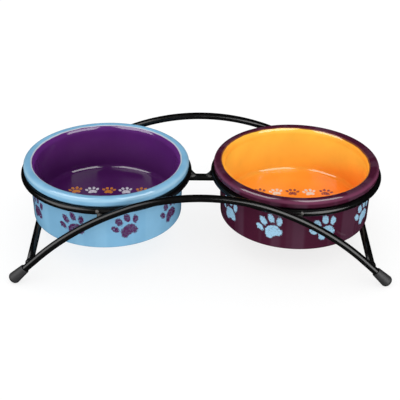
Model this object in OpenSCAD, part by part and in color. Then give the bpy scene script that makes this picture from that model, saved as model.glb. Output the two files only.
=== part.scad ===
// Double pet bowl: two glazed ceramic bowls that hang by their rolled rims in a welded wire stand.
// The origin is on the floor, midway between the bowls. +X runs from the left bowl to the right one,
// +Y points to the rear arch and +Z points up. All sizes are in millimetres.

/* [Bowls] */
// Diameter over the rolled rim
bowl_d = 120; // [118:0.5:121]
// Height from the foot to the top of the rim
bowl_h = 43.6; // [42:0.1:49]
// Depth of the inside, from the top of the rim to the floor of the bowl
bowl_depth = 34.5; // [28:0.5:35]
// Outer diameter of the wall just under the rim
wall_top_d = 111.2; // [109:0.1:111.6]
// Outer diameter of the wall at the foot
wall_foot_d = 108.8; // [104:0.1:110]
// Thickness of the wall at the foot
wall_t = 4.7; // [4:0.1:5.5]
// Radius of the outer half of the rolled rim
rim_edge_r = 3.2; // [2.8:0.2:3.4]
// Radius of the inner half of the rolled rim
rim_inner_r = 5.2; // [4.8:0.1:5.6]
// Radius of the corner between the inside wall and the floor of the bowl
floor_corner_r = 3.8; // [3:0.1:6]
// Radius of the outer corner at the foot
foot_corner_r = 2.5; // [1.5:0.1:3]
// Depth of the hollow under the bowl, inside its foot rim
foot_hollow = 2.2; // [1:0.1:3]
// Width of the foot rim that stays flat
foot_rim_w = 4; // [3:0.5:6]

/* [Stand] */
// Diameter of the coated steel wire
wire_d = 5.2; // [4.8:0.1:5.3]
// Distance between the middles of the two bowls
bowl_pitch = 138; // [136:1:140]
// Height of the rims above the floor
rim_h = 65.6; // [65.6:0.2:67]
// Diameter of each ring, measured to the middle of its wire
ring_d = 118.8; // [118.4:0.2:119.4]
// Free height between a ring and the rim that rests on it
seat_gap = 0.25; // [0.2:0.05:0.25]
// Distance between the front arch and the rear arch, middle to middle
arch_pitch = 127.8; // [127.6:0.2:128.4]
// Height of the arches above the floor, to the top of the wire
arch_h = 71.8; // [71.2:0.2:72]
// Bend radius of an arch at its top
apex_bend_r = 143; // [140:3:146]
// Angle that the top bend turns on each side of the middle
apex_bend_a = 20; // [19:1:21]
// Bend radius of the arch's shoulders
shoulder_bend_r = 185; // [180:5:190]
// Slope of the straight legs
leg_a = 44; // [43:1:45]
// Distance along a leg from the mouth of its cap to the side bar
bar_up = 4.3; // [4.1:0.1:6]
// Height of the bridge between the rings, to the middle of its wire
bridge_h = 50.4; // [50:0.1:50.7]
// Length of the bridge
bridge_len = 24; // [20:0.5:24.5]

/* [Foot caps] */
// Length of a cap
cap_len = 14; // [13:0.5:16]
// Diameter of a cap at its mouth
cap_mouth_d = 6.8; // [6.6:0.1:7.4]
// Diameter of a cap at its end
cap_end_d = 8.5; // [8:0.1:9]
// Radius of the rounded end
cap_round_r = 3; // [2.4:0.1:3.4]
// Depth of the blind bore that the wire is pushed into
cap_bore_l = 10.5; // [8:0.5:11]
// Depth that the rounded end is worn flat by the floor
cap_flat = 0.35; // [0.2:0.05:0.5]

/* [Welds] */
// Distance from the middle of the stand to the posts between the left ring and the arches
left_post_x = 70; // [69.4:0.1:70.8]
// Distance from the middle of the stand to the posts between the right ring and the arches
right_post_x = 67.6; // [67:0.1:68.4]
// Radius of a post
post_r = 1.7; // [1.6:0.1:1.9]
// Thickness of the web that spreads from a post along its arch
web_t = 3; // [2.6:0.2:3]
// Radius of the web's hollow edge
web_r = 3; // [2.4:0.2:3.4]
// Radius of the hollow edge of the gusset between the bridge and a ring
gusset_r = 7.2; // [7:0.1:7.4]
// Thickness of a gusset
gusset_t = 4.4; // [3:0.1:4.6]
// Radius of the bead round the end of a side bar
bar_bead_r = 3.2; // [3:0.1:3.4]
// Length of the bead along the side bar
bar_bead_l = 3.4; // [3:0.1:4]

/* [Hidden] */
$fn = 96;

left = -1;
right = 1;
front = -1;
rear = 1;

// Colours of the glazes, the coated wire, its weld beads and the caps
left_glaze = "#82b2d0";
right_glaze = "#52303e";
coat_black = "#1c1c1e";
bead_black = "#2a2a2c";
cap_black = "#303032";

wire_r = wire_d / 2;
// Number of straight steps that draw one rounded corner of an outline
corner_steps = 10;
// Steps of a full turn along a bent wire
turn_steps = 360;
// The wire thins a little in the shoulder bends, which run a little way into their neighbours
bend_thin = 0.01;
bend_lap_a = 0.1;

// Bowl: heights above the floor, and radii
bowl_x = bowl_pitch / 2;
bowl_r = bowl_d / 2;
foot_h = rim_h - bowl_h;
basin_h = rim_h - bowl_depth;
rim_mid_h = rim_h - rim_edge_r;
rim_mid_r = bowl_r - rim_edge_r;
// Height of the rim's flat underside, and the radii of its outer edge and of the cove below it
rim_under_h = rim_mid_h - 3.6;
rim_under_r = 2;
cove_r = 1.3;
wall_top_r = wall_top_d / 2;
wall_foot_r = wall_foot_d / 2;
basin_r = wall_foot_r - wall_t;
hollow_r = wall_foot_r - foot_corner_r - foot_rim_w;

// Rings hang below the rims, and the arches stand in front of and behind them
ring_r = ring_d / 2;
ring_h = rim_under_h - seat_gap - wire_r;
arch_y = arch_pitch / 2;

// Middles of the arch's two kinds of bend, in the arch's own upright plane
apex_mid_h = arch_h - wire_r - apex_bend_r;
shoulder_mid_x = (apex_bend_r - shoulder_bend_r) * sin(apex_bend_a);
shoulder_mid_h = apex_mid_h + (apex_bend_r - shoulder_bend_r) * cos(apex_bend_a);
leg_top_x = shoulder_mid_x + shoulder_bend_r * sin(leg_a);
leg_top_h = shoulder_mid_h + shoulder_bend_r * cos(leg_a);

// Mouth of a cap on the leg's middle line, so that the flat on its end lies on the floor
cap_corner_off = cap_end_d / 2 - cap_round_r;
cap_corner_l = cap_len - cap_round_r;
mouth_h = cap_corner_l * sin(leg_a) + cap_corner_off * cos(leg_a) + cap_round_r - cap_flat;
mouth_x = leg_top_x + (leg_top_h - mouth_h) / tan(leg_a);
leg_len = (leg_top_h - mouth_h) / sin(leg_a) + cap_bore_l;
cap_edge = 0.4;

// Side bars lie on the legs' middle lines
bar_x = mouth_x - bar_up * cos(leg_a);
bar_h = mouth_h + bar_up * sin(leg_a);

// How far a web's toe lies inside the arch, and how thick a bead is at its thin ends
web_sink = 0.2;
// A post is cut to a straight stretch of its arch, which touches the bend midway along the web
web_turn = 0.8;
web_cut_l = 20;
weld_sink = 0.011;
bead_edge = 0.1;
// The side bar's bead starts between the middle of the leg and its rear face
bar_bead_gap = 1.5;
// A gusset's hollow edge, as angles of its arc from the bridge to the ring
gusset_from = -66;
gusset_to = -22;
gusset_x = 0.5;
gusset_mid_h = bridge_h + wire_r + gusset_r * cos(90 + gusset_from) - bead_edge;
ring_side_x = bowl_x - ring_r;

// Points on a round corner of an outline, from one angle to another
function corner(x, h, r, from, to) =
    [for (i = [0:corner_steps]) let (a = from + (to - from) * i / corner_steps) [x + r * cos(a), h + r * sin(a)]];

// Height of an arch's middle line over a place on its shoulder
function shoulder_h(x) = shoulder_mid_h + sqrt(pow(shoulder_bend_r, 2) - pow(x - shoulder_mid_x, 2));

// Straight wire along +Z
module rod(l) {
    cylinder(h = l, r = wire_r);
}

// Wire bent to radius r in the upright XZ plane, between two angles above +X
module bend(r, from, to, thin = 0) {
    rotate([90, 0, 0])
        rotate([0, 0, from])
            rotate_extrude(angle = to - from, $fn = turn_steps)
                translate([r, 0])
                    circle(r = wire_r - thin, $fn = 96);
}

// Moves what follows to the leg's middle line, at height h, with +Z pointing down the leg
module on_leg(x, h) {
    translate([x, 0, h])
        rotate([0, 90 + leg_a, 0])
            children();
}

// Straight leg of an arch on the +X side, down to the end of its cap's bore
module leg() {
    on_leg(leg_top_x, leg_top_h)
        rod(leg_len);
}

// Bent wire in the middle plane: top bend, two shoulders and two legs
module arch_wire() {
    translate([0, 0, apex_mid_h])
        bend(apex_bend_r, 90 - apex_bend_a, 90 + apex_bend_a);
    for (side = [0, 1])
        mirror([side, 0, 0]) {
            translate([shoulder_mid_x, 0, shoulder_mid_h])
                bend(shoulder_bend_r, 90 - leg_a - bend_lap_a, 90 - apex_bend_a + bend_lap_a, bend_thin);
            leg();
        }
}

module arch(face) {
    color(coat_black)
        translate([0, face * arch_y, 0])
            arch_wire();
}

module ring_wire() {
    translate([bowl_x, 0, ring_h])
        rotate_extrude($fn = turn_steps)
            translate([ring_r, 0])
                circle(r = wire_r, $fn = 96);
}

module ring(side) {
    color(coat_black)
        translate([side * bowl_x - bowl_x, 0, 0])
            ring_wire();
}

// Short wire welded under both rings
module bridge_wire() {
    translate([-bridge_len / 2, 0, bridge_h])
        rotate([0, 90, 0])
            rod(bridge_len);
}

module ring_bridge() {
    color(coat_black)
        bridge_wire();
}

// Bar from the front leg to the rear leg, with its ends cut to the legs
module side_bar(side) {
    color(coat_black)
        mirror([side == left ? 1 : 0, 0, 0])
            difference() {
                translate([bar_x, -arch_y, bar_h])
                    rotate([-90, 0, 0])
                        rod(arch_pitch);
                for (face = [front, rear])
                    translate([0, face * arch_y, 0])
                        leg();
            }
}

// Rubber cap pushed over the end of a leg and worn flat where it stands
module cap(side, face) {
    color(cap_black)
        mirror([side == left ? 1 : 0, 0, 0])
            difference() {
                translate([0, face * arch_y, 0])
                    on_leg(mouth_x, mouth_h)
                        difference() {
                            rotate_extrude()
                                polygon(concat(
                                    [[0, 0], [cap_mouth_d / 2 - cap_edge, 0], [cap_mouth_d / 2, cap_edge]],
                                    corner(cap_corner_off, cap_corner_l, cap_round_r, 0, 90),
                                    [[0, cap_len]]));
                            translate([0, 0, -1])
                                cylinder(h = cap_bore_l + 1, r = wire_r);
                        }
                translate([0, face * arch_y - cap_len, -cap_len])
                    cube([2 * mouth_x, 2 * cap_len, cap_len]);
            }
}

// Bowl with a rolled rim, a flat floor and a hollow foot
module bowl(side) {
    color(side == left ? left_glaze : right_glaze)
        translate([side * bowl_x, 0, 0])
            rotate_extrude()
                polygon(concat(
                    [[0, foot_h + foot_hollow], [hollow_r - foot_hollow, foot_h + foot_hollow], [hollow_r, foot_h]],
                    corner(wall_foot_r - foot_corner_r, foot_h + foot_corner_r, foot_corner_r, -90, 0),
                    corner(wall_top_r + cove_r, rim_under_h - cove_r, cove_r, 180, 90),
                    corner(bowl_r - rim_under_r, rim_under_h + rim_under_r, rim_under_r, -90, 0),
                    corner(rim_mid_r, rim_mid_h, rim_edge_r, 0, 90),
                    corner(rim_mid_r, rim_h - rim_inner_r, rim_inner_r, 99, 180),
                    corner(basin_r - floor_corner_r, basin_h + floor_corner_r, floor_corner_r, 0, -90),
                    [[0, basin_h]]));
}

// Post from the arch up to the ring behind it, with a web that spreads along the arch towards the middle
module ring_weld(side, face) {
    post_x = side == left ? left_post_x : right_post_x;
    arch_a = asin((post_x - shoulder_mid_x) / shoulder_bend_r);
    rise = ring_h - shoulder_h(post_x);
    reach = arch_y - sqrt(pow(ring_r, 2) - pow(post_x - bowl_x, 2));
    lean = rise * sin(arch_a);
    tall = norm([reach, rise * cos(arch_a)]);
    web_h = wire_r - web_sink + web_r;
    web_x = -lean * web_h / tall;
    color(bead_black)
        mirror([side == left ? 1 : 0, 0, 0])
            mirror([0, face == rear ? 1 : 0, 0])
                difference() {
                    translate([post_x, -arch_y, shoulder_h(post_x)]) {
                        rotate([-atan2(reach, rise), 0, 0])
                            cylinder(h = norm([reach, rise]), r = post_r);
                        rotate([0, arch_a, 0])
                            rotate([-atan2(reach, rise * cos(arch_a)), 0, 0])
                                rotate([90, 0, 0])
                                    linear_extrude(height = web_t, center = true)
                                        polygon(concat(
                                            [[0, 0], [web_x, web_h]],
                                            corner(web_x - post_r - web_r, web_h, web_r, 0, -90),
                                            [[web_x - post_r - web_r, 0]]));
                    }
                    ring_wire();
                    translate([shoulder_mid_x, -arch_y, shoulder_mid_h])
                        rotate([0, arch_a - web_turn, 0])
                            translate([-web_cut_l / 2, 0, shoulder_bend_r])
                                rotate([0, 90, 0])
                                    cylinder(h = web_cut_l, r = wire_r - weld_sink);
                }
}

// Hollow-edged gusset on the bridge, where it passes under a ring
module bridge_weld(side) {
    color(bead_black)
        mirror([side == left ? 1 : 0, 0, 0])
            difference() {
                rotate([90, 0, 0])
                    linear_extrude(height = gusset_t, center = true)
                        polygon(concat(
                            corner(gusset_x, gusset_mid_h, gusset_r, gusset_from, gusset_to),
                            [[ring_side_x, ring_h], [ring_side_x, bridge_h],
                             [gusset_x + gusset_r * cos(gusset_from), bridge_h]]));
                ring_wire();
                bridge_wire();
            }
}

// Round bead behind the leg, where the end of a side bar meets it
module bar_weld(side, face) {
    color(bead_black)
        mirror([side == left ? 1 : 0, 0, 0])
            mirror([0, face == rear ? 1 : 0, 0])
                difference() {
                    translate([bar_x, -arch_y + bar_bead_gap, bar_h])
                        rotate([-90, 0, 0])
                            rotate_extrude()
                                polygon([
                                    [0, 0],
                                    for (i = [0:corner_steps])
                                        let (t = i / corner_steps)
                                        [wire_r + bead_edge + (bar_bead_r - wire_r - bead_edge) * sin(180 * t),
                                         bar_bead_l * t],
                                    [0, bar_bead_l]]);
                    translate([0, -arch_y, 0])
                        leg();
                    translate([bar_x, -arch_y, bar_h])
                        rotate([-90, 0, 0])
                            rod(arch_pitch);
                }
}

bowl(left);  // left_bowl
bowl(right);  // right_bowl
ring(left);  // left_ring
ring(right);  // right_ring
arch(front);  // front_arch
arch(rear);  // rear_arch
ring_bridge();
side_bar(left);  // left_side_bar
side_bar(right);  // right_side_bar
cap(left, front);  // front_left_cap
cap(right, front);  // front_right_cap
cap(left, rear);  // rear_left_cap
cap(right, rear);  // rear_right_cap
ring_weld(left, front);  // front_left_ring_weld
ring_weld(right, front);  // front_right_ring_weld
ring_weld(left, rear);  // rear_left_ring_weld
ring_weld(right, rear);  // rear_right_ring_weld
bridge_weld(left);  // left_bridge_weld
bridge_weld(right);  // right_bridge_weld
bar_weld(left, front);  // front_left_bar_weld
bar_weld(right, front);  // front_right_bar_weld
bar_weld(left, rear);  // rear_left_bar_weld
bar_weld(right, rear);  // rear_right_bar_weld
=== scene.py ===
# %% [markdown]
# # A double pet bowl in a welded wire stand
# The real object is two slip-cast, glazed stoneware bowls that hang by their rolled rims in two rings of
# steel wire. The rings are welded between a front and a rear arch, a short bridge ties them together, a bar
# near the floor holds each pair of legs apart, and rubber caps close the legs' ends. This notebook dresses
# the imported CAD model: every CAD solid is replaced by a finer mesh of the same piece, at the same place.

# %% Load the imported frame
import math

import bpy
from mathutils import Matrix, Vector, noise


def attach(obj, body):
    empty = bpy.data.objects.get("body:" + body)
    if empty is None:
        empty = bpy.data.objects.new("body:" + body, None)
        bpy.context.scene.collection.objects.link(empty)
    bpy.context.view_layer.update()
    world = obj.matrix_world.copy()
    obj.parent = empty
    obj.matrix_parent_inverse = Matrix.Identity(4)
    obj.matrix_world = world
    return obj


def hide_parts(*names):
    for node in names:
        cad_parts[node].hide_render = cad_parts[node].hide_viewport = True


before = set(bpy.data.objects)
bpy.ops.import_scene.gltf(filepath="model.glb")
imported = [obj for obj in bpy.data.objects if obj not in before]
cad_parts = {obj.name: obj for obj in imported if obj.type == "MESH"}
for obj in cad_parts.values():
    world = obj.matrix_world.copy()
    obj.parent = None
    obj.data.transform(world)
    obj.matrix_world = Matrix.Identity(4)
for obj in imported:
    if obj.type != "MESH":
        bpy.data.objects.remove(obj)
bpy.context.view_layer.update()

MM = 0.001

# %% [markdown]
# ## The camera
# The photograph looks down at about 30 degrees from a little over 0.8 m. A camera could be placed by eye,
# but one that was fitted to the outlines of the rims, rings and arches matches them to a fraction of a
# pixel, so its place, its small turn and its small roll are plain numbers here. The focal length was found
# in pixels of the 400 pixel frame and is turned into a lens for Blender's 36 mm sensor.

# %% Place the camera
FRAME_PX = 400
SENSOR_MM = 36.0
FOCAL_PX = 1132.8
CAMERA_AT = Vector((-6.77, -726.97, 451.6)) * MM
PITCH, YAW, ROLL = (math.radians(a) for a in (30.054, 0.481, 0.779))

ahead = Vector((math.sin(YAW) * math.cos(PITCH), math.cos(YAW) * math.cos(PITCH), -math.sin(PITCH)))
level = Vector((math.cos(YAW), -math.sin(YAW), 0))
over = level.cross(ahead)
across = math.cos(ROLL) * level + math.sin(ROLL) * over
upward = -math.sin(ROLL) * level + math.cos(ROLL) * over
turned = Matrix((across, upward, -ahead)).transposed().to_4x4()

camera = bpy.data.objects.new("photo_camera", bpy.data.cameras.new("photo_camera"))
camera.data.sensor_width = SENSOR_MM
camera.data.lens = FOCAL_PX * SENSOR_MM / FRAME_PX
camera.data.clip_start, camera.data.clip_end = 0.01, 20
camera.matrix_world = Matrix.Translation(CAMERA_AT) @ turned
bpy.context.scene.collection.objects.link(camera)
bpy.context.scene.camera = camera
print(f"lens {camera.data.lens:.1f} mm, {CAMERA_AT.length:.2f} m from the origin")

# %% [markdown]
# ## Colours and nodes
# Colours are written as sRGB hex values, the way a paint or glaze chart gives them, and one function turns
# them to the linear values that Blender's sockets take. A finish could be wired by hand in the shader
# editor. Here one function adds a node with its settings and links, so that it reads as a recipe.

# %% Helpers for materials
def linear(hex_value):
    """The linear RGBA of an sRGB hex colour such as "#82b2d0"."""
    shares = [int(hex_value[i:i + 2], 16) / 255 for i in (1, 3, 5)]
    return [c / 12.92 if c <= 0.04045 else ((c + 0.055) / 1.055) ** 2.4 for c in shares] + [1.0]


def feed(node, feeds):
    """Gives a node's inputs, by name or number, their values or the outputs that feed them."""
    for socket, value in feeds.items():
        if isinstance(value, bpy.types.NodeSocket):
            node.id_data.links.new(value, node.inputs[socket])
        else:
            node.inputs[socket].default_value = value


def add(material, kind, feeds=None, out=0, **settings):
    """Adds one node with its settings and links, and returns one of its outputs."""
    node = material.node_tree.nodes.new("ShaderNode" + kind)
    for name, value in settings.items():
        setattr(node, name, value)
    feed(node, feeds or {})
    return node.outputs[out]


# A Mix node for colours, whose result is its third output
RGB = {"data_type": "RGBA", "out": 2}


def new_material(name):
    """A material with only its output node and one Principled shader, and that shader."""
    material = bpy.data.materials.new(name)
    material.use_nodes = True
    return material, material.node_tree.nodes["Principled BSDF"]


print("mid grey #808080 in linear light:", round(linear("#808080")[0], 3))

# %% [markdown]
# ## Glaze
# The bowls are stoneware: cast in a plaster mould, fired, painted with coloured underglaze and fired again
# under a clear glass glaze. To the eye that means deep even colour under a hard, very smooth gloss (IOR
# about 1.5, roughness under 0.1, not metallic) whose reflections wander a little, because molten glaze never
# sets quite flat. The zones of colour could be separate materials, but those meet in hard seams. Here one
# material works them out from a point's height and its distance to the axis, so that borders can be soft.

# %% Where a point lies on its bowl
# Heights of the rim's top, the foot and the basin's floor, and the wall's radius half way up, in mm
RIM_TOP, FOOT, BASIN, WALL_R = 65.6, 22.0, 31.1, 55.0


def bowl_place(material):
    """A point's place in mm, its parts, the place without its height, and distance and way from the axis."""
    local = add(material, "TexCoord", out="Object")
    at = {"mm": add(material, "VectorMath", {0: local, "Scale": 1 / MM}, operation="SCALE")}
    at["x"], at["y"], at["height"] = add(material, "SeparateXYZ", {0: at["mm"]}).node.outputs
    at["flat"] = add(material, "VectorMath", {0: at["mm"], 1: (1, 1, 0)}, operation="MULTIPLY")
    at["radius"] = add(material, "VectorMath", {0: at["flat"]}, operation="LENGTH", out="Value")
    at["way"] = add(material, "VectorMath", {0: at["flat"]}, operation="NORMALIZE")
    return at


print(f"a bowl is {RIM_TOP - FOOT:.1f} mm high and {RIM_TOP - BASIN:.1f} mm deep")

# %% [markdown]
# ## A paw print
# Prints of paws are drawn on the wall and on the basin's floor, as with a stick of chalk, under the clear
# glaze. An image could carry them. A print that is worked out from the distance to a few ellipses, three for
# the pad and four for the toes, stays sharp at any size, and each one can be turned a little by chance.

# %% The distance to a print
# Each ellipse's middle x and y in mm, its turn in degrees, its half width and half height in mm
PAW_ELLIPSES = (
    (0.0, -3.3, 0, 5.6, 4.2), (-3.4, -5.6, 0, 3.0, 3.0), (3.4, -5.6, 0, 3.0, 3.0),
    (-8.0, 1.9, 24, 2.1, 3.3), (-3.2, 6.0, 8, 2.3, 3.6), (3.2, 6.0, -8, 2.3, 3.6), (8.0, 1.9, -24, 2.1, 3.3),
)


def paw_distance(material, local):
    """How far a point is outside a paw print, in mm."""
    nearest = None
    for x, y, turn, wide, tall in PAW_ELLIPSES:
        inside = add(material, "Mapping", {"Vector": local, "Location": (x, y, 0), "Scale": (wide, tall, 1),
                     "Rotation": (0, 0, math.radians(turn))}, vector_type="TEXTURE")
        length = add(material, "VectorMath", {0: inside}, operation="LENGTH", out="Value")
        away = add(material, "Math", {0: length, 1: -1.0}, operation="ADD")
        away = add(material, "Math", {0: away, 1: (wide + tall) / 2}, operation="MULTIPLY")
        nearest = away if nearest is None else add(
            material, "Math", {0: nearest, 1: away}, operation="MINIMUM")
    return nearest


print("ellipses in a print:", len(PAW_ELLIPSES))

# %% [markdown]
# ## Chalk
# A stroke of chalk has ragged edges, and thin spots where the ground shows through. Both could be painted,
# but two noises do it at every print without repeating. Real grains of chalk are some tenths of a millimetre
# wide. The render has only 1.3 pixels to the millimetre, so they are drawn just coarse enough to show.

# %% Ragged edges and thin spots
# Nearly all of a noise lies between these values
NOISE_LOW, NOISE_HIGH = 0.3, 0.7
# Features to a millimetre: an edge wanders over about 1.1 mm, a spot is about 0.8 mm wide
RAGGED_PER_MM, SPOTS_PER_MM = 0.9, 1.3
# How far an edge wanders at most, in mm
RAGGED_MM = 0.95
# Above the first value of its noise chalk is thin, below the second it is full, and this much is left
SPOT_THIN, SPOT_NONE, SPOT_CHALK = 0.61, 0.56, 0.2


def chalk_grain(material, at):
    """How far the ragged edge lies out at a point, in mm, and how much chalk sticks there."""
    ragged = add(material, "TexNoise", {"Vector": at["mm"], "Scale": RAGGED_PER_MM, "Detail": 4.0,
                 "Roughness": 0.75})
    ragged = add(material, "MapRange", {0: ragged, 1: NOISE_LOW, 2: NOISE_HIGH, 3: -RAGGED_MM,
                 4: RAGGED_MM})
    spots = add(material, "TexNoise", {"Vector": at["mm"], "Scale": SPOTS_PER_MM, "Detail": 3.0,
                "Roughness": 0.8})
    full = add(material, "MapRange", {0: spots, 1: SPOT_THIN, 2: SPOT_NONE, 3: SPOT_CHALK, 4: 1.0})
    return ragged, full


print(f"edges wander over {1 / RAGGED_PER_MM:.1f} mm, spots are {1 / SPOTS_PER_MM:.1f} mm wide")

# %% [markdown]
# ## Rows of prints
# One row goes round the wall, and on the basin's floor a short row of small prints faces each long side of
# the stand. A stamp could be copied along a row. Here a share that grows by one from print to print is split
# into its whole number, which names the print, and the rest, which says where in it a point lies.

# %% A row
# Half the width of a stroke's soft edge, in mm
EDGE_MM = 0.2


def paw_row(material, grain, share, height, middle, size, pitch, lean):
    """How much chalk of a row of prints lies at a point, and its print's number. size is a share of a full
    print, pitch is the distance of two prints in mm, lean is the most that one is turned, in radians."""
    ragged, full = grain
    number = add(material, "Math", {0: share}, operation="FLOOR")
    within = add(material, "Math", {0: share}, operation="FRACT")
    x = add(material, "MapRange", {0: within, 3: -pitch / (2 * size), 4: pitch / (2 * size)})
    y = add(material, "MapRange", {0: height, 1: middle - size, 2: middle + size, 3: -1.0, 4: 1.0},
            clamp=False)
    local = add(material, "CombineXYZ", {0: x, 1: y})
    chance = add(material, "TexWhiteNoise", {"W": number}, noise_dimensions="1D", out="Value")
    turn = add(material, "MapRange", {0: chance, 3: -lean, 4: lean})
    local = add(material, "VectorRotate", {"Vector": local, "Angle": turn}, rotation_type="Z_AXIS")
    away = add(material, "Math", {0: paw_distance(material, local), 1: ragged}, operation="ADD")
    chalked = add(material, "MapRange", {0: away, 1: EDGE_MM, 2: -EDGE_MM})
    return add(material, "Math", {0: chalked, 1: full}, operation="MULTIPLY"), number


print("soft edge of a stroke:", 2 * EDGE_MM, "mm")

# %% The row round the wall
# Prints in the row, its turn as a share of one print, the height of its middle in mm, and its lean
PAWS, PAW_START, PAW_H, PAW_LEAN = 9, 0.3, 39.4, 0.5
PAW_PITCH = 2 * math.pi * WALL_R / PAWS
# The outside of the wall lies further out than this, and the basin nearer to the axis, in mm
OUTSIDE_R = 54.2


def wall_prints(material, at, grain):
    """How much chalk lies at a point of the wall."""
    angle = add(material, "Math", {0: at["y"], 1: at["x"]}, operation="ARCTAN2")
    share = add(material, "Math", {0: angle, 1: PAWS / (2 * math.pi), 2: PAW_START},
                operation="MULTIPLY_ADD")
    on_paw, _ = paw_row(material, grain, share, at["height"], PAW_H, 1.0, PAW_PITCH, PAW_LEAN)
    outside = add(material, "Math", {0: at["radius"], 1: OUTSIDE_R}, operation="GREATER_THAN")
    return add(material, "Math", {0: on_paw, 1: outside}, operation="MULTIPLY")


print(f"{PAWS} prints round the wall, one every {PAW_PITCH:.1f} mm")

# %% The rows on the basin's floor
# Prints in a row and their pitch, the row's distance to the middle of the floor, the prints' size and lean
MARKS, MARK_STEP, MARK_Y, MARK_SIZE, MARK_LEAN = 5, 12.5, 13.0, 0.5, 0.3


def floor_prints(material, at, grain):
    """How much chalk lies at a point of the basin's floor, and whether its print has an odd number."""
    share = add(material, "Math", {0: at["x"], 1: 1 / MARK_STEP, 2: 0.5}, operation="MULTIPLY_ADD")
    off_middle = add(material, "Math", {0: at["y"]}, operation="ABSOLUTE")
    on_mark, number = paw_row(material, grain, share, off_middle, MARK_Y, MARK_SIZE, MARK_STEP, MARK_LEAN)
    in_row = add(material, "Math", {0: at["x"], 1: 0.0, 2: MARKS / 2 * MARK_STEP}, operation="COMPARE")
    at_basin = add(material, "Math", {0: at["height"], 1: BASIN, 2: 0.5}, operation="COMPARE")
    on_floor = add(material, "Math", {0: in_row, 1: at_basin}, operation="MULTIPLY")
    on_floor = add(material, "Math", {0: on_floor, 1: on_mark}, operation="MULTIPLY")
    return on_floor, add(material, "Math", {0: number, 1: 2.0}, operation="FLOORED_MODULO")


print(f"rows of {MARKS} on the floor, {MARKS * MARK_STEP} mm long")

# %% [markdown]
# ## The line on the rim and the bare foot
# The inside has one colour and the outside another. Where they meet on the rim the glaze runs thin and a
# pale line of clay shows, never quite round. The foot is wiped bare before firing, so it stays matt clay.
# The line could be a thin ring with a mesh of its own. It follows from a distance instead, with a slow noise
# in its radius for the hand that held the bowl, because it has no thickness.

# %% Shares of the inside, the line and the bare foot
# How far the line's radius sways, in mm, and the sways to a millimetre, each about 8 mm long
LINE_SWAY, SWAYS_PER_MM = 0.35, 0.12
# Half the width of the soft border, how far outside it the line's middle lies, and its half width, in mm
BORDER_MM, LINE_OFF, LINE_HALF = 0.12, 0.3, 0.45
LINE_SHARE = 0.55
# The inside and the line lie above these heights, glaze covers all from the third up, clay is bare below
INSIDE_FROM, LINE_FROM, GLAZE_FROM, BARE_TO = 30.0, 62.0, FOOT + 0.9, FOOT + 0.5


def rim_zones(material, at, line_at):
    """Shares of the inside, of the line and of bare clay at a point."""
    middle, line_r = line_at
    sway = add(material, "TexNoise", {"Vector": at["mm"], "Scale": SWAYS_PER_MM, "Detail": 2.0})
    line_r = add(material, "MapRange", {0: sway, 3: line_r - LINE_SWAY, 4: line_r + LINE_SWAY})
    off = add(material, "VectorMath", {0: at["flat"], 1: middle + (0,)}, operation="SUBTRACT")
    off = add(material, "VectorMath", {0: off}, operation="LENGTH", out="Value")
    beyond = add(material, "Math", {0: off, 1: line_r}, operation="SUBTRACT")
    inner = add(material, "MapRange", {0: beyond, 1: BORDER_MM, 2: -BORDER_MM})
    above = add(material, "Math", {0: at["height"], 1: INSIDE_FROM}, operation="GREATER_THAN")
    inner = add(material, "Math", {0: inner, 1: above}, operation="MULTIPLY")
    thin = add(material, "Math", {0: beyond, 1: LINE_OFF, 2: LINE_HALF}, operation="COMPARE")
    high = add(material, "Math", {0: at["height"], 1: LINE_FROM}, operation="GREATER_THAN")
    thin = add(material, "Math", {0: thin, 1: high}, operation="MULTIPLY")
    thin = add(material, "Math", {0: thin, 1: LINE_SHARE}, operation="MULTIPLY")
    bare = add(material, "MapRange", {0: at["height"], 1: GLAZE_FROM, 2: BARE_TO})
    return inner, thin, bare


print(f"line {2 * LINE_HALF:.1f} mm wide, bare clay up to {BARE_TO - FOOT:.1f} mm above the foot")

# %% [markdown]
# ## Painted shade inside
# The inside is painted darker towards the basin's floor and paler towards the rim: painted shade, deeper
# down where less light reaches. Tilting the ramp paints one side lighter and the other darker, as painted
# light from one side. The colours could be painted on. A ramp over the height was chosen, and tilting moves
# the shade.

# %% Colours of the inside
# The painted shade ramp goes from the first height to the second, in mm, with stops at these shares between
# its ends
PAINTED_SHADE_FROM, PAINTED_SHADE_TO = BASIN - 7.0, RIM_TOP + 18.0
PAINTED_SHADE_STOPS = (0.12, 0.35, 0.5, 0.64)
# Between these heights the roll's sides are painted with shade, in mm
ROLL_FROM, ROLL_TO = RIM_TOP - 7.0, RIM_TOP - 3.5


def inside_colour(material, at, inside, roll, lean, on_floor, mark):
    """Inside colours on a ramp of painted shade that lean tilts, the small prints, and the roll's painted
    shade.
    """
    rise = add(material, "VectorMath", {0: at["mm"], 1: lean + (1,)}, operation="DOT_PRODUCT", out="Value")
    painted_shade_share = add(material, "MapRange", {0: rise, 1: PAINTED_SHADE_FROM, 2: PAINTED_SHADE_TO})
    painted_shade_ramp = add(material, "ValToRGB", {0: painted_shade_share})
    stops = painted_shade_ramp.node.color_ramp.elements
    for stop_at in PAINTED_SHADE_STOPS:
        stops.new(stop_at)
    for stop, hex_value in zip(stops, inside):
        stop.color = linear(hex_value)
    colour = add(material, "Mix", {0: on_floor, 6: painted_shade_ramp, 7: mark}, **RGB)

    # On the roll at the top of the inside the colour is painted darker towards the bowl's two sides: painted
    # shade
    sides = add(material, "SeparateXYZ", {0: at["way"]}, out="X")
    sides = add(material, "Math", {0: sides, 1: sides}, operation="MULTIPLY")
    roll_shade_share = add(material, "MapRange", {0: at["height"], 1: ROLL_FROM, 2: ROLL_TO})
    roll_shade_share = add(material, "Math", {0: roll_shade_share, 1: sides}, operation="MULTIPLY")
    return add(material, "Mix", {0: roll_shade_share, 6: colour, 7: linear(roll)}, **RGB)


print(f"the ramp spans {PAINTED_SHADE_TO - PAINTED_SHADE_FROM:.1f} mm of height")
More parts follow.
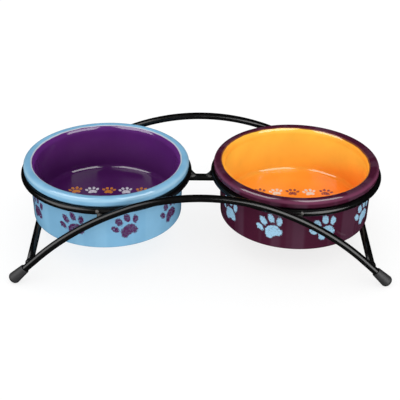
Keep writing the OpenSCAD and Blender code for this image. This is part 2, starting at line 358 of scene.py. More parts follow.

# %% [markdown]
# ## Painted reflections and highlight outside
# On the steep wall soft vertical streaks, some 10 to 20 mm wide, are painted reflections of bright shapes in
# the room, and a paler band over the tight bend of the rim's bead is a painted highlight. Streaks could be
# drawn one by one. A noise that is looked up by direction alone gives them, since it can't change downwards.

# %% Colours of the outside
# Features of the noise to the wall's radius, its values where a painted reflection streak starts and is full,
# and its share
STREAKS_PER_RADIUS, STREAK_FROM, STREAK_FULL, STREAK_SHARE = 3.4, 0.5, 0.62, 0.5
# Height of the bead's middle, how far from it the painted highlight ends and is full, and its share there
BEAD_H, BEAD_END, BEAD_FULL, BEAD_HIGHLIGHT_SHARE = 63.7, 1.9, 0.2, 0.9
BEAD_FROM_R, BEAD_TO_R = 57.0, 58.4


def wall_colour(material, at, outside, reflection_streaks, bead, chalk, on_wall):
    """Colours of the outside, its painted reflection streaks, the chalk and the painted highlight on the
    bead.
    """
    streaks = add(material, "TexNoise", {"Vector": at["way"], "Scale": STREAKS_PER_RADIUS, "Detail": 2.0,
                  "Roughness": 0.6})
    on_reflection_streak = add(material, "MapRange", {0: streaks, 1: STREAK_FROM, 2: STREAK_FULL, 3: 0.0, 4: STREAK_SHARE},
                 interpolation_type="SMOOTHSTEP")
    colour = add(material, "Mix", {0: on_reflection_streak, 6: linear(outside), 7: linear(reflection_streaks)}, **RGB)
    colour = add(material, "Mix", {0: on_wall, 6: colour, 7: linear(chalk)}, **RGB)

    off_bead = add(material, "Math", {0: at["height"], 1: BEAD_H}, operation="SUBTRACT")
    off_bead = add(material, "Math", {0: off_bead}, operation="ABSOLUTE")
    bead_highlight = add(material, "MapRange", {0: off_bead, 1: BEAD_END, 2: BEAD_FULL, 3: 0.0, 4: BEAD_HIGHLIGHT_SHARE},
                  interpolation_type="SMOOTHSTEP")
    far_out = add(material, "MapRange", {0: at["radius"], 1: BEAD_FROM_R, 2: BEAD_TO_R})
    bead_highlight = add(material, "Math", {0: bead_highlight, 1: far_out}, operation="MULTIPLY")
    return add(material, "Mix", {0: bead_highlight, 6: colour, 7: linear(bead)}, **RGB)


print(f"a streak is about {WALL_R / STREAKS_PER_RADIUS:.0f} mm wide")

# %% [markdown]
# ## Gloss
# Glaze is smoothest where it pooled, on the floor and in its corner. On the steep inner wall it keeps a
# slight ripple from running down, which blurs reflections, and over the rim it is smooth again. One
# roughness for the whole bowl would be simpler, but then its wall would mirror as sharply as its floor.

# %% Roughness of the zones
FLOOR_ROUGH, INNER_WALL_ROUGH, ROLL_ROUGH, OUTSIDE_ROUGH, BARE_ROUGH = 0.05, 0.25, 0.08, 0.07, 0.8
# Between these heights the floor's corner turns into the wall, and the wall into the roll, in mm
CORNER_FROM, CORNER_TO = BASIN + 5.5, BASIN + 11.0
SMOOTH_FROM, SMOOTH_TO = RIM_TOP - 12.0, RIM_TOP - 7.0


def glaze_roughness(material, at, inner, bare):
    """Roughness from the floor up the inner wall, on the roll, outside and on bare clay."""
    rough = add(material, "MapRange", {0: at["height"], 1: CORNER_FROM, 2: CORNER_TO, 3: FLOOR_ROUGH,
                4: INNER_WALL_ROUGH})
    upper = add(material, "MapRange", {0: at["height"], 1: SMOOTH_FROM, 2: SMOOTH_TO})
    rough = add(material, "Mix", {0: upper, 2: rough, 3: ROLL_ROUGH}, data_type="FLOAT")
    rough = add(material, "Mix", {0: inner, 2: OUTSIDE_ROUGH, 3: rough}, data_type="FLOAT")
    return add(material, "Mix", {0: bare, 2: rough, 3: BARE_ROUGH}, data_type="FLOAT")


print("roughness of the floor and of the inner wall:", FLOOR_ROUGH, INNER_WALL_ROUGH)

# %% [markdown]
# ## The two glazes
# One bowl is light blue outside and purple inside, the other plum outside and orange inside. The underglaze
# is a little uneven, as brushed or sprayed colour is, so a slow noise makes it lighter and darker by a few
# hundredths, and another one lets the surface wave. Each bowl could have a recipe of its own, but both were
# made alike, so they share one, and only the colours, the line and the tilt of the painted shade inside
# differ.

# %% The recipe
GLAZE_IOR, BARE_CLAY = 1.5, "#cdbfae"
# Features to a millimetre of the uneven colour and of the waves, both about 20 mm wide
CLOUDS_PER_MM, WAVES_PER_MM = 0.05, 0.045
TONE_LOW, TONE_HIGH, WAVE_MM = 0.94, 1.06, 0.05


def glaze(name, outside, reflection_streaks, bead, line, inside, roll, chalk, marks, line_at, lean):
    """Glossy glaze. inside has the colours upwards, as a ramp of painted shade, marks the two colours of the
    small prints, line_at the middle (x, y) and the radius of the rim's line in mm, and lean tilts the painted
    shade inside."""
    material, shader = new_material(name)
    at = bowl_place(material)
    grain = chalk_grain(material, at)
    on_wall = wall_prints(material, at, grain)
    on_floor, odd = floor_prints(material, at, grain)
    inner, thin, bare = rim_zones(material, at, line_at)

    mark = add(material, "Mix", {0: odd, 6: linear(marks[0]), 7: linear(marks[1])}, **RGB)
    basin = inside_colour(material, at, inside, roll, lean, on_floor, mark)
    wall = wall_colour(material, at, outside, reflection_streaks, bead, chalk, on_wall)
    colour = add(material, "Mix", {0: inner, 6: wall, 7: basin}, **RGB)
    colour = add(material, "Mix", {0: thin, 6: colour, 7: linear(line)}, **RGB)
    cloud = add(material, "TexNoise", {"Vector": at["mm"], "Scale": CLOUDS_PER_MM, "Detail": 3.0})
    tone = add(material, "MapRange", {0: cloud, 1: NOISE_LOW, 2: NOISE_HIGH, 3: TONE_LOW, 4: TONE_HIGH})
    grey = add(material, "CombineColor", {0: tone, 1: tone, 2: tone})
    colour = add(material, "Mix", {0: 1.0, 6: colour, 7: grey}, blend_type="MULTIPLY", **RGB)
    colour = add(material, "Mix", {0: bare, 6: colour, 7: linear(BARE_CLAY)}, **RGB)

    waves = add(material, "TexNoise", {"Vector": at["mm"], "Scale": WAVES_PER_MM, "Detail": 2.0})
    bump = add(material, "Bump", {"Height": waves, "Distance": WAVE_MM * MM, "Strength": 0.5})
    rough = glaze_roughness(material, at, inner, bare)
    feed(shader, {"Base Color": colour, "Roughness": rough, "Normal": bump, "IOR": GLAZE_IOR})
    return material


print(f"colour varies by {TONE_HIGH - TONE_LOW:.2f} over {1 / CLOUDS_PER_MM:.0f} mm")

# %% Mix the two glazes
# The inside colours of both glazes are painted shade, darker towards the floor, and roll paints shade on the
# roll's sides
blue_glaze = glaze(
    "blue_and_purple_glaze", outside="#7aaed0", reflection_streaks="#86b8d7", bead="#9fc9e2", line="#ded5d5",
    inside=("#441752", "#451853", "#572468", "#5d2771", "#5e2775", "#5e2775"), roll="#5e2775",
    chalk="#501d4d", marks=("#d0802a", "#d3cfdb"), line_at=((0, 0), 54.0), lean=(0.2, 0.0))
# bead is a painted highlight and the streak colour a painted reflection, in both glazes
plum_glaze = glaze(
    "plum_and_orange_glaze", outside="#43152b", reflection_streaks="#56394a", bead="#723954", line="#935631",
    inside=("#ff7c20", "#ff882a", "#ffa338", "#ffc248", "#ffc94c", "#ffd450"), roll="#ffac38",
    chalk="#9fcbe6", marks=("#752845", "#e4dcd3"), line_at=((-0.7, 0), 53.5), lean=(-0.12, 0.35))
print("nodes in a glaze:", len(blue_glaze.node_tree.nodes))

# %% [markdown]
# ## Turning
# A bowl, a cap or a weld bead is round about an axis, so it is turned: an outline in millimetres is swept
# round in small steps. A modifier could sweep it too. Plain mesh code was chosen, because it gives an even
# grid of quads that stays smooth where glossy glaze and satin coating would show every facet.

# %% Helpers for turned pieces
def arc(x, h, r, start, end, steps):
    """Points of an arc round (x, h), angles in degrees above +x."""
    turns = [math.radians(start + (end - start) * i / steps) for i in range(steps + 1)]
    return [(x + r * math.cos(a), h + r * math.sin(a)) for a in turns]


def turned_rows(outline, steps):
    """Rings of points from an outline of (radius, height) in mm, turned about +Z, from foot to top."""
    around = [2 * math.pi * j / steps for j in range(steps)]
    return [[Vector((r * math.cos(a), r * math.sin(a), h)) * MM for a in around] for r, h in outline]


def grid_mesh(name, rows, looped=False, capped=True):
    """A mesh over rings of points. looped joins the last ring to the first, capped closes open ends."""
    points = [p for row in rows for p in row]
    wide, tall = len(rows[0]), len(rows)
    faces = []
    for i in range(tall if looped else tall - 1):
        here, beyond = i * wide, (i + 1) % tall * wide
        for j in range(wide):
            k = (j + 1) % wide
            faces.append((here + j, here + k, beyond + k, beyond + j))
    if capped and not looped:
        for first, flip in ((0, True), ((tall - 1) * wide, False)):
            points.append(sum((Vector(points[first + j]) for j in range(wide)), Vector()) / wide)
            hub = len(points) - 1
            for j in range(wide):
                a, b = first + j, first + (j + 1) % wide
                faces.append((b, a, hub) if flip else (a, b, hub))
    mesh = bpy.data.meshes.new(name)
    mesh.from_pydata([tuple(p) for p in points], [], faces)
    mesh.shade_smooth()
    return mesh


print("points in a quarter turn of 14 steps:", len(arc(0, 0, 1, 0, 90, 14)))

# %% [markdown]
# ## The bowls
# A slip-cast bowl leaves its mould with soft corners everywhere. The rim is rolled outwards: a round outer
# bead with a flat underside that the ring carries, easing into the wall through a small cove. Inside, a wall
# leads to a flat floor through a round corner, and underneath a foot rim surrounds a shallow hollow. It could
# be joined from rings and a disc. One outline was chosen, because the real bowl has no joins either.

# %% The outside of the outline, from the middle of the underside up to the rim
RIM_R, RIM_EDGE_R, RIM_MID, RIM_UNDER = 60.0, 3.2, 62.4, 58.8
WALL_FOOT_R, WALL_TOP_R = 54.4, 55.6
HOLLOW, FOOT_CORNER_R, COVE_R, UNDER_R = 2.2, 2.5, 1.3, 2.0
# The foot rim's inner edge has a small hollow corner and a small round one: distance to the axis, radius
HOLLOW_CORNER, FOOT_EDGE = (44.6, 1.2), (48.6, 1.0)
# A tiny ring round the axis, instead of a point on it, keeps the faces even
AXIS_R = 0.5
EDGE_H, CORNER_H, COVE_H = FOOT + FOOT_EDGE[1], FOOT + FOOT_CORNER_R, RIM_UNDER - COVE_R

outside_part = (
    [(r, FOOT + HOLLOW) for r in (AXIS_R, 20.0, 40.0)]
    + arc(HOLLOW_CORNER[0], EDGE_H, HOLLOW_CORNER[1], 90, 45, 4)[:-1]
    + arc(FOOT_EDGE[0], EDGE_H, FOOT_EDGE[1], 225, 270, 4)
    + arc(WALL_FOOT_R - FOOT_CORNER_R, CORNER_H, FOOT_CORNER_R, -90, 0, 10)
    + [(WALL_FOOT_R + (WALL_TOP_R - WALL_FOOT_R) * t, CORNER_H + (COVE_H - CORNER_H) * t)
       for t in (0.1, 0.25, 0.4, 0.55, 0.7, 0.85)]
    + arc(WALL_TOP_R + COVE_R, COVE_H, COVE_R, 180, 90, 6)
    + arc(RIM_R - UNDER_R, RIM_UNDER + UNDER_R, UNDER_R, -90, 0, 8)
    + arc(RIM_R - RIM_EDGE_R, RIM_MID, RIM_EDGE_R, 0, 90, 14)
)
print("points outside:", len(outside_part))

# %% The inside of the outline, from the rim down to the middle of the floor
RIM_INNER_R, BASIN_R, FLOOR_CORNER_R = 5.2, 49.7, 3.8
ROLL_MID_R, ROLL_H = RIM_R - RIM_EDGE_R, RIM_TOP - RIM_INNER_R
ROLL_END_R, FLOOR_CORNER_H = ROLL_MID_R - RIM_INNER_R, BASIN + FLOOR_CORNER_R

inside_part = (
    arc(ROLL_MID_R, ROLL_H, RIM_INNER_R, 94, 180, 20)
    + [(ROLL_END_R + (BASIN_R - ROLL_END_R) * t, ROLL_H + (FLOOR_CORNER_H - ROLL_H) * t)
       for t in (0.15, 0.3, 0.45, 0.6, 0.75, 0.9)]
    + arc(BASIN_R - FLOOR_CORNER_R, FLOOR_CORNER_H, FLOOR_CORNER_R, 0, -90, 14)
    + [(r, BASIN) for r in (40.0, 30.0, 20.0, 10.0, AXIS_R)]
)
print("points inside:", len(inside_part))

# %% Turn the bowls
BOWL_X, BOWL_STEPS = 69.0, 192


def place(mesh, material, body, slot, *nodes, at_x=0.0):
    """Makes the piece, gives it its finish, lets it ride on its body and stand for its CAD nodes."""
    piece = bpy.data.objects.new(mesh.name, mesh)
    bpy.context.scene.collection.objects.link(piece)
    piece.location.x = at_x * MM
    mesh.materials.append(material)
    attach(piece, body)
    if nodes:
        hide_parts(*nodes)
    return piece


mesh = grid_mesh("blue_bowl", turned_rows(outside_part + inside_part, BOWL_STEPS))
blue_bowl = place(mesh, blue_glaze, "left_bowl", "blue_glaze", "left_bowl", at_x=-BOWL_X)
mesh = grid_mesh("plum_bowl", turned_rows(outside_part + inside_part, BOWL_STEPS))
plum_bowl = place(mesh, plum_glaze, "right_bowl", "plum_glaze", "right_bowl", at_x=BOWL_X)
print("points in a bowl:", len(blue_bowl.data.vertices))

# %% [markdown]
# ## Powder coat
# The stand is mild steel wire, straightened, cut, bent and spot-welded, then powder coated: dry polyester
# powder clings to it by charge and melts in an oven into one black skin. No steel shows, so the finish isn't
# metallic. The eye sees near black with a soft grey highlight (roughness about 0.2, and an IOR of 1.4, low
# for a resin, to keep black dark) and the faint dimpled skin called orange peel, with dimples about 1 mm
# across, just coarse enough to show. A plain dark shader would do from afar, but the highlight on real wire
# breaks up a little along its length, so slow noise changes the tint and the roughness too.

# %% The coating
# Width of the dimples, their depth, and width of the patches, in mm
PEEL_SIZE, PEEL_MM, PATCH_SIZE = 1.1, 0.02, 9
COAT_IOR, ROUGH_SPREAD = 1.4, 0.05


def per_mm(size_mm):
    """The Scale that makes a texture's features this many millimetres wide."""
    return 1 / (size_mm * MM)


def coating(name, tint, patch, rough):
    """Powder coat between two near-black tints, with its middle roughness."""
    material, shader = new_material(name)
    local = add(material, "TexCoord", out="Object")
    peel = add(material, "TexNoise", {"Vector": local, "Scale": per_mm(PEEL_SIZE), "Detail": 2.0})
    patches = add(material, "TexNoise", {"Vector": local, "Scale": per_mm(PATCH_SIZE), "Detail": 3.0})
    dark = add(material, "Mix", {0: patches, 6: linear(tint), 7: linear(patch)}, **RGB)
    blur = add(material, "MapRange", {0: patches, 1: NOISE_LOW, 2: NOISE_HIGH, 3: rough - ROUGH_SPREAD,
               4: rough + ROUGH_SPREAD})
    bump = add(material, "Bump", {"Height": peel, "Distance": PEEL_MM * MM, "Strength": 0.5})
    feed(shader, {"Base Color": dark, "Roughness": blur, "Normal": bump, "IOR": COAT_IOR})
    return material


# Smooth wire: near black with a clear soft highlight
powder_coat = coating("black_powder_coat", "#030303", "#070707", 0.22)
# Welds hold more powder in their hollows: a touch greyer
weld_coat = coating("powder_coat_on_welds", "#050505", "#0c0b0b", 0.25)
# Posts are coarse: a dark grey tint is a painted highlight for the light they catch, and the coat is blurred
post_coat_painted_highlight = coating("powder_coat_on_posts_painted_highlight", "#262423", "#32302e", 0.45)
# Small drops of spatter: a pale grey tint is a painted highlight for their glints
spatter_coat_painted_highlight = coating("powder_coat_on_spatter_painted_highlight", "#4a4846", "#605d5b", 0.25)
print("coats:", [coat.name for coat in (powder_coat, weld_coat, post_coat_painted_highlight, spatter_coat_painted_highlight)])

# %% [markdown]
# ## Drawn wire and the rings
# Wire is drawn through a die, so its section is round everywhere. A curve with a bevel could make it. Here a
# round section follows the middle line of the CAD solid, in the same even grid as the turned pieces. A ring
# is one wire, bent round and closed by a butt weld that the coating hides, so its grid is closed as well.

# %% Draw the rings
SIDES = ((-1, "left"), (1, "right"))
WIRE_R, RING_R, RING_STEPS = 2.6, 59.4, 180
# The rim is this far above the top of its ring, in mm
SEAT_GAP = 0.25
RING_H = RIM_UNDER - SEAT_GAP - WIRE_R


def drawn_rows(path, radius, sides=24):
    """Rings of points round a path that lies in one plane, given as (point, direction, side) in mm."""
    turns = [2 * math.pi * j / sides for j in range(sides)]
    rows = []
    for point, along, side_way in path:
        out = along.cross(side_way)
        rows.append([(point + radius * (math.cos(a) * side_way + math.sin(a) * out)) * MM for a in turns])
    return rows


def ring_path(side):
    """A ring's middle line."""
    path = []
    for i in range(RING_STEPS):
        a = 2 * math.pi * i / RING_STEPS
        out = Vector((math.cos(a), math.sin(a), 0))
        point = Vector((side * BOWL_X, 0, RING_H)) + RING_R * out
        path.append((point, Vector((-out.y, out.x, 0)), Vector((0, 0, 1))))
    return path


for side, side_word in SIDES:
    mesh = grid_mesh(side_word + "_ring_wire", drawn_rows(ring_path(side), WIRE_R), looped=True)
    place(mesh, powder_coat, "stand", "coated_wire", side_word + "_ring")
print(f"rings of {2 * WIRE_R} mm wire, {2 * RING_R} mm across, {RING_H:.2f} mm above the floor")

# %% [markdown]
# ## The arches
# An arch is bent from one length: a top bend, two wider shoulder bends and two straight legs that end inside
# the rubber caps. The bends and legs could be pieces of their own. They are taken as one path, so that no
# joint shows, and the legs' length follows from the caps, which have to stand on the floor.

# %% Middle line of an arch
ARCH_Y, ARCH_TOP = 63.9, 69.2
APEX_R, SHOULDER_R = 143.0, 185.0
# Slope where the top bend meets the shoulder, and of the legs
bend, slope = math.radians(20.0), math.radians(44.0)
CAP_L, CAP_MOUTH_R, CAP_END_R, CAP_ROUND_R, CAP_FLAT, BORE_L = 14.0, 3.4, 4.25, 3.0, 0.35, 10.5

APEX_MID = Vector((0, 0, ARCH_TOP - APEX_R))
SHOULDER_MID = APEX_MID + (APEX_R - SHOULDER_R) * Vector((math.sin(bend), 0, math.cos(bend)))
DOWN_LEG = Vector((math.cos(slope), 0, -math.sin(slope)))
LEG_TOP = SHOULDER_MID + SHOULDER_R * Vector((math.sin(slope), 0, math.cos(slope)))
# The cap's mouth has this height when the flat that it wears is on the floor
mouth_h = ((CAP_L - CAP_ROUND_R) * math.sin(slope) + (CAP_END_R - CAP_ROUND_R) * math.cos(slope)
           + CAP_ROUND_R - CAP_FLAT)
MOUTH = LEG_TOP + DOWN_LEG * ((LEG_TOP.z - mouth_h) / math.sin(slope))
print("cap mouth at", [round(v, 2) for v in MOUTH])

# %% Draw the arches
FACES = ((-1, "front"), (1, "rear"))
APEX_STEPS, SHOULDER_STEPS = 20, 30


def arch_half():
    """Middle line of an arch from its top to the end of its right leg, with its slope, in the XZ plane."""
    path = []
    for i in range(APEX_STEPS + 1):
        a = bend * i / APEX_STEPS
        path.append((APEX_MID + APEX_R * Vector((math.sin(a), 0, math.cos(a))), a))
    for i in range(1, SHOULDER_STEPS + 1):
        a = bend + (slope - bend) * i / SHOULDER_STEPS
        path.append((SHOULDER_MID + SHOULDER_R * Vector((math.sin(a), 0, math.cos(a))), a))
    length = (MOUTH - LEG_TOP).length + BORE_L
    return path + [(LEG_TOP + DOWN_LEG * length * t, slope) for t in (0.25, 0.5, 0.75, 1.0)]


def arch_path(face):
    """A whole arch's middle line, from the left leg to the right one."""
    half = arch_half()
    whole = [(Vector((-p.x, 0, p.z)), -a) for p, a in reversed(half[1:])] + half
    shift = Vector((0, face * ARCH_Y, 0))
    return [(p + shift, Vector((math.cos(a), 0, -math.sin(a))), Vector((0, 1, 0))) for p, a in whole]


for face, face_word in FACES:
    mesh = grid_mesh(face_word + "_arch_wire", drawn_rows(arch_path(face), WIRE_R))
    place(mesh, powder_coat, "stand", "coated_wire", face_word + "_arch")
print(f"arches {2 * ARCH_Y:.1f} mm apart, {ARCH_TOP + WIRE_R:.1f} mm high")

# %% [markdown]
# ## The bridge and the side bars
# Short straight wires tie the rings together in the middle and the legs near the floor. A cylinder would do
# for each. They are drawn like the other wires, so that all have the same section.

# %% Draw the straight wires
BRIDGE_H, BRIDGE_HALF = 50.4, 12
# One more section this close to a cut end keeps the shading there flat, in mm
CUT_EDGE = 0.4
BAR_UP = 4.3
BAR = MOUTH - DOWN_LEG * BAR_UP

cuts = (-BRIDGE_HALF, CUT_EDGE - BRIDGE_HALF, 0, BRIDGE_HALF - CUT_EDGE, BRIDGE_HALF)
path = [(Vector((x, 0, BRIDGE_H)), Vector((1, 0, 0)), Vector((0, 1, 0))) for x in cuts]
place(grid_mesh("bridge_wire", drawn_rows(path, WIRE_R)), powder_coat, "stand", "coated_wire", "ring_bridge")
for side, side_word in SIDES:
    path = [(Vector((side * BAR.x, y, BAR.z)), Vector((0, 1, 0)), Vector((1, 0, 0)))
            for y in (-ARCH_Y + 1, -20, 20, ARCH_Y - 1)]
    mesh = grid_mesh(side_word + "_bar_wire", drawn_rows(path, WIRE_R))
    place(mesh, powder_coat, "stand", "coated_wire", side_word + "_side_bar")
print("side bar at", [round(v, 2) for v in BAR])

# %% [markdown]
# ## Rough welds and spatter
# Filler metal sets in ripples and pits, and small drops of it freeze beside the weld. A bump map could fake
# that, but a weld is seen against the light, where its outline tells, so its points are moved themselves: by
# a tenth or two of a millimetre, and differently for each weld by a number that shifts the noise.

# %% Helpers for welds
WAVE_SIZE, PIT_SIZE, PIT_SHARE = 1.4, 0.5, 0.4


def roughened(mesh, seed, push=0.2):
    """Pushes points along their normals by noise, about push mm, that differs from weld to weld."""
    shift = Vector((seed * 7.1, seed * 3.3, 0))
    for vertex, normal in zip(mesh.vertices, [v.normal.copy() for v in mesh.vertices]):
        p = vertex.co / MM
        wave, pit = noise.noise(p / WAVE_SIZE + shift), noise.noise(p / PIT_SIZE + shift)
        vertex.co += normal * MM * (push * wave + PIT_SHARE * push * pit)
    return mesh


def spatter(middle, size, name, seed):
    """A small drop, half sunk in the wire: size gives its half lengths along X, Y and Z in mm."""
    outline = [(math.sin(math.pi * i / 12), -math.cos(math.pi * i / 12)) for i in range(1, 12)]
    rows = [[Vector((p.x * size[0], p.y * size[1], p.z * size[2])) + middle * MM for p in row]
            for row in turned_rows(outline, 24)]
    place(roughened(grid_mesh(name, rows), seed, 0.25), spatter_coat_painted_highlight, "stand", "coated_bead")


print("welds wave over", WAVE_SIZE, "mm, with pits of", PIT_SIZE, "mm")

# %% [markdown]
# ## Posts
# A short post of filler carries each ring on its arch, with a web that spreads inward along the arch. Two
# crossing cylinders would leave a hard crease, so the post is lofted: its section is round at the ring and
# grows longer towards the arch in a hollow line. One drop of spatter sits beside each post on the ring.

# %% Loft the posts
CORNERS = [(face, side, f"{face_word}_{side_word}") for face, face_word in FACES for side, side_word in SIDES]
# Distance of the left and of the right posts to the middle of the stand
POST_X = {-1: 70.0, 1: 67.6}
POST_STEPS, POST_SIDES = 16, 32
# The post's half width, the web's reach on the arch, the share of the post that it climbs, its hollowness
POST_HALF, WEB_REACH, WEB_SHARE, WEB_HOLLOW = 1.75, 4.3, 0.8, 2.2
# Half the thickness in the middle and what both ends have more
POST_THIN, POST_FLARE = 1.35, 0.5


def post_rows(foot, head, inward, thick_way):
    """Sections from an arch (foot) to a ring (head)."""
    rows = []
    for i in range(POST_STEPS + 1):
        t = i / POST_STEPS
        spread = POST_HALF + WEB_REACH * max(0.0, 1 - t / WEB_SHARE) ** WEB_HOLLOW
        thick = POST_THIN + POST_FLARE * (2 * t - 1) ** 2
        row = []
        for a in (2 * math.pi * j / POST_SIDES for j in range(POST_SIDES)):
            reach = math.cos(a) * (spread if math.cos(a) > 0 else POST_HALF)
            row.append((foot.lerp(head, t) + reach * inward + thick * math.sin(a) * thick_way) * MM)
        rows.append(row)
    return rows


for seed, (face, side, corner) in enumerate(CORNERS, 1):
    x = POST_X[side]
    turn = math.asin((x - SHOULDER_MID.x) / SHOULDER_R)
    foot = Vector((side * x, face * ARCH_Y, SHOULDER_MID.z + SHOULDER_R * math.cos(turn)))
    head = Vector((side * x, face * math.sqrt(RING_R ** 2 - (x - BOWL_X) ** 2), RING_H))
    inward = Vector((-side * math.cos(turn), 0, math.sin(turn)))
    thick_way = inward.cross(head - foot).normalized()
    mesh = roughened(grid_mesh(corner + "_ring_post", post_rows(foot, head, inward, thick_way)), seed)
    place(mesh, post_coat_painted_highlight, "stand", "coated_bead", corner + "_ring_weld")
    drop_at = head + Vector((side * 1.3, face * 2.4, 0.8))
    spatter(drop_at, (1.15, 1.1, 1.5), corner + "_ring_spatter", seed + 5)
print(f"a post spans {(head - foot).length:.1f} mm from wire to wire")

# %% [markdown]
# ## Beads round the side bars
# Where a side bar meets a leg, a low bead runs round the bar's end. A torus would be too even and too deep.
# The bead is turned from a flat bulge instead, and stays open, because the wires close its ends.

# %% Turn the beads
BEAD_L, BEAD_BASE, BEAD_RISE, BEAD_GAP, BEAD_STEPS = 3.4, 0.1, 0.5, 1.5, 12
outline = [(WIRE_R + BEAD_BASE + BEAD_RISE * math.sin(math.pi * t), BEAD_L * t)
           for t in (i / BEAD_STEPS for i in range(BEAD_STEPS + 1))]
for seed, (face, side, corner) in enumerate(CORNERS, 11):
    start = Vector((side * BAR.x, face * (ARCH_Y - BEAD_GAP), BAR.z))
    turned = Vector((0, -face, 0)).to_track_quat("Z", "Y").to_matrix()
    rows = [[start * MM + turned @ p for p in row] for row in turned_rows(outline, 40)]
    mesh = roughened(grid_mesh(corner + "_bar_bead", rows, capped=False), seed, 0.15)
    place(mesh, weld_coat, "stand", "coated_bead", corner + "_bar_weld")
print("beads:", len(CORNERS), "each", BEAD_L, "mm long")

# %% [markdown]
# ## Gussets
# Over each end of the bridge filler climbs to the ring and sets in a hollow slope. A wedge would show a
# straight edge, so sections across the bridge follow that slope, each an upside-down U over the wire.

# %% Loft the gussets over the ends of the bridge
# Radius of the hollow, its middle's distance from the middle of the bridge, and where it starts and ends
GUSSET_R, GUSSET_X, GUSSET_FROM, GUSSET_TO = 7.2, 0.5, -66, -22
# How far it is sunk in the wire, and its half width, of which it starts with a share and grows over a length
GUSSET_SINK, GUSSET_HALF, GUSSET_SHARE, GUSSET_GROWS = 0.1, 2.25, 0.8, 6.2
GUSSET_MID_H = BRIDGE_H + WIRE_R + GUSSET_R * math.cos(math.radians(90 + GUSSET_FROM)) - GUSSET_SINK
# It goes on level under the ring
UNDER_RING_X = (8.0, 8.8, 9.6)
GUSSET_SIDES = 24


def gusset_rows(side):
    """Sections across the bridge whose top follows the hollow edge up to the ring."""
    edge = arc(GUSSET_X, GUSSET_MID_H, GUSSET_R, GUSSET_FROM, GUSSET_TO, 14)
    edge += [(x, edge[-1][1]) for x in UNDER_RING_X]
    rows = []
    for x, top in edge:
        grown = max(0.0, (x - edge[0][0]) / GUSSET_GROWS)
        half = GUSSET_HALF * (GUSSET_SHARE + (1 - GUSSET_SHARE) * grown)
        row = []
        for a in (math.pi * j / GUSSET_SIDES for j in range(GUSSET_SIDES + 1)):
            y = half * math.copysign(abs(math.cos(a)) ** 0.75, math.cos(a))
            row.append(Vector((side * x, y, BRIDGE_H + (top - BRIDGE_H) * math.sin(a) ** 0.6)) * MM)
        rows.append(row)
    return rows


for side, side_word in SIDES:
    mesh = roughened(grid_mesh(side_word + "_bridge_gusset", gusset_rows(side)), 20 + side, 0.12)
    place(mesh, weld_coat, "stand", "coated_bead", side_word + "_bridge_weld")
    for face, face_word in FACES:
        name = f"{face_word}_{side_word}_bridge_spatter"
        spatter(Vector((side * 6.6, face * 1.9, BRIDGE_H + 1.9)), (1.9, 0.8, 0.9), name, 30 + side + face)
print(f"a gusset rises {GUSSET_MID_H + GUSSET_R * math.sin(math.radians(GUSSET_TO)) - BRIDGE_H:.1f} mm")

# %% [markdown]
# ## Rubber caps
# The caps are moulded rubber, pushed over the cut ends so that they neither scratch nor slide. Black rubber
# is a matt dark grey to the eye, a shade lighter than the coating: roughness a little over 0.6, the shader's
# own IOR of 1.5, not metallic. Its grain is finer than a pixel and is drawn 0.7 mm wide to show. A cap could
# be cut from a cylinder. It is turned from its outline, tipped along its leg, and pressed flat on the floor.

# %% The rubber
GRAIN_SIZE, GRAIN_MM, SMEAR_SIZE = 0.7, 0.05, 5
cap_rubber, shader = new_material("moulded_cap_rubber")
local = add(cap_rubber, "TexCoord", out="Object")
grain = add(cap_rubber, "TexNoise", {"Vector": local, "Scale": per_mm(GRAIN_SIZE), "Detail": 4.0})
smear = add(cap_rubber, "TexNoise", {"Vector": local, "Scale": per_mm(SMEAR_SIZE), "Detail": 3.0})
colour = add(cap_rubber, "Mix", {0: smear, 6: linear("#18181a"), 7: linear("#2a2a2d")}, **RGB)
bump = add(cap_rubber, "Bump", {"Height": grain, "Distance": GRAIN_MM * MM, "Strength": 0.6})
feed(shader, {"Base Color": colour, "Roughness": 0.62, "Normal": bump})
print("finish of the caps:", cap_rubber.name)

# %% Turn the caps and push them on
CONE_L, LIP_R = CAP_L - CAP_ROUND_R, 0.35
cap_outline = (
    [(WIRE_R + 0.02, 1.2), (WIRE_R + 0.05, 0.3)]
    + arc(CAP_MOUTH_R - LIP_R, LIP_R, LIP_R, 200, 360, 8)
    + [(CAP_MOUTH_R + (CAP_END_R - CAP_MOUTH_R) * t, LIP_R + (CONE_L - LIP_R) * t)
       for t in (0.05, 0.2, 0.4, 0.6, 0.8)]
    + arc(CAP_END_R - CAP_ROUND_R, CONE_L, CAP_ROUND_R, 0, 90, 16)
    + [(0.4, CAP_L)]
)
for face, side, corner in CORNERS:
    mesh = grid_mesh(corner + "_rubber_cap", turned_rows(cap_outline, 64))
    turned = Vector((side * DOWN_LEG.x, 0, DOWN_LEG.z)).to_track_quat("Z", "Y").to_matrix()
    start = Vector((side * MOUTH.x, face * ARCH_Y, MOUTH.z))
    for vertex in mesh.vertices:
        p = start + turned @ (vertex.co / MM)
        p.z = max(p.z, 0.0)
        vertex.co = p * MM
    place(mesh, cap_rubber, "stand", "rubber_cap", corner + "_cap")
print("caps:", len(CORNERS), "each", CAP_L, "mm long")

# %% [markdown]
# ## The light table
# The floor is a light table, pale acrylic lit softly from below, so that shadows stay faint. A white sheet
# would need much stronger lamps to look as bright, and those would flatten the bowls. It is left out of
# reflections, so that its glow doesn't fill the undersides of the wires.

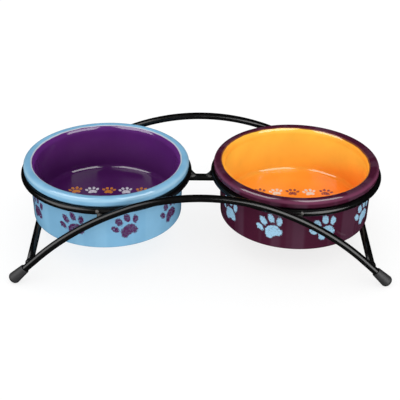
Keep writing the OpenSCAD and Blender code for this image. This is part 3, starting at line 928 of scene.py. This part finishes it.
# %% Lay the light table
FLOOR_HALF, FLOOR_GLOW = 20, 0.76
floor_mesh = bpy.data.meshes.new("studio_floor")
floor_mesh.from_pydata([(x * FLOOR_HALF, y * FLOOR_HALF, 0) for x, y in ((-1, -1), (1, -1), (1, 1), (-1, 1))],
                       [], [(0, 1, 2, 3)])
studio_floor = bpy.data.objects.new("studio_floor", floor_mesh)
bpy.context.scene.collection.objects.link(studio_floor)
lit_acrylic, shader = new_material("pale_lit_acrylic")
feed(shader, {"Base Color": linear("#8c8c8c"), "Roughness": 0.8, "Specular IOR Level": 0.0,
              "Emission Color": (1, 1, 1, 1), "Emission Strength": FLOOR_GLOW})
floor_mesh.materials.append(lit_acrylic)
studio_floor.visible_glossy = False
print("light table:", 2 * FLOOR_HALF, "m wide, glow", FLOOR_GLOW)

# %% [markdown]
# ## The room
# The room is bright in front and dimmer behind. Many lamps could light it. One soft gradient on the world is
# plainer and has no edges to mirror. Reflections take a much darker gradient, so that dark coating stays
# dark and the glaze keeps its colour.

# %% Brightness of the room
ROOM_FRONT, ROOM_BACK = 1.37, 0.82
GLOSS_FRONT, GLOSS_BACK = 0.1, 0.01
world = bpy.data.worlds.new("studio_room")
bpy.context.scene.world = world
world.use_nodes = True
backdrop = world.node_tree.nodes["Background"]
way = add(world, "TexCoord", out="Generated")
to_front = add(world, "VectorMath", {0: way, 1: (0, -1, 0)}, operation="DOT_PRODUCT", out="Value")
light_level = add(world, "MapRange", {0: to_front, 1: -0.7, 2: 0.9, 3: ROOM_BACK, 4: ROOM_FRONT},
                  interpolation_type="SMOOTHSTEP")
gloss_level = add(world, "MapRange", {0: to_front, 1: -0.3, 2: 0.9, 3: GLOSS_BACK, 4: GLOSS_FRONT},
                  interpolation_type="SMOOTHSTEP")
in_gloss = add(world, "LightPath", out="Is Glossy Ray")
room = add(world, "Mix", {0: in_gloss, 2: light_level, 3: gloss_level}, data_type="FLOAT")
feed(backdrop, {"Color": (1, 1, 1, 1), "Strength": room})
print("brightness in front and behind:", ROOM_FRONT, ROOM_BACK)

# %% [markdown]
# ## Soft boxes and cards
# Gloss shows its surroundings, so a photographer sets up white shapes only to be mirrored. Two large soft
# boxes high in front give each bowl two bright arcs in the corner of its floor and soft bands on its rim.
# Two cards lower down, left and right, draw the long soft highlights on the wires. In a studio, black flags
# would keep each of them off the other pieces. Light linking does that here: the boxes reach only the bowls
# and the cards only the stand. None of them lights anything diffusely or is seen by the camera.

# %% Set up the boxes and the cards
# Middle of the low and of the high edge and the way along them in metres, the width, and the glow
SOFT_BOXES = {
    "right_soft_box": ((0.43, -0.355, 0.48), (0.22, -0.11, 0.95), (0.613, 0.31, 0), 0.56, 6.5),
    "left_soft_box": ((-0.54, -0.245, 0.48), (-0.32, -0.045, 0.95), (0.56, -0.44, 0), 0.585, 6.5),
}
CARDS = {
    "left_card": ((-0.805, -0.246, 0.118), (-0.322, -0.413, 0.67), (0.202, -0.874, -0.441), 0.6, 4.2),
    "right_card": ((0.65, -0.546, -0.03), (0.235, -0.646, 0.5), (0.552, 0.627, 0.55), 0.6, 6.4),
}


def mirrored_light(name, low, high, along, wide, glow):
    """A rectangle of light that only reflections show."""
    low, high, along = Vector(low), Vector(high), Vector(along).normalized()
    rise = high - low
    up = (rise - along * rise.dot(along)).normalized()
    light = bpy.data.lights.new(name, "AREA")
    light.shape = "RECTANGLE"
    light.size, light.size_y = wide, rise.length
    light.energy = glow * math.pi * wide * rise.length
    holder = bpy.data.objects.new(name, light)
    turned = Matrix((along, up, along.cross(up))).transposed().to_4x4()
    holder.matrix_world = Matrix.Translation((low + high) / 2) @ turned
    holder.visible_camera = False
    holder.visible_diffuse = False
    bpy.context.scene.collection.objects.link(holder)
    return holder


bowls = (blue_bowl, plum_bowl)
stand = [piece for piece in bpy.context.scene.objects
         if piece.type == "MESH" and piece not in bowls and piece != studio_floor]
for group, lights, pieces in (("lit_by_soft_boxes", SOFT_BOXES, bowls), ("lit_by_cards", CARDS, stand)):
    lit = bpy.data.collections.new(group)
    for piece in pieces:
        lit.objects.link(piece)
    for name, values in lights.items():
        mirrored_light(name, *values).light_linking.receiver_collection = lit

# %% [markdown]
# ## Finish
# The plain view keeps the hex values of the glazes, where a filmic one would mute them.

# %% Set the plain view
bpy.context.scene.view_settings.view_transform = "Standard"
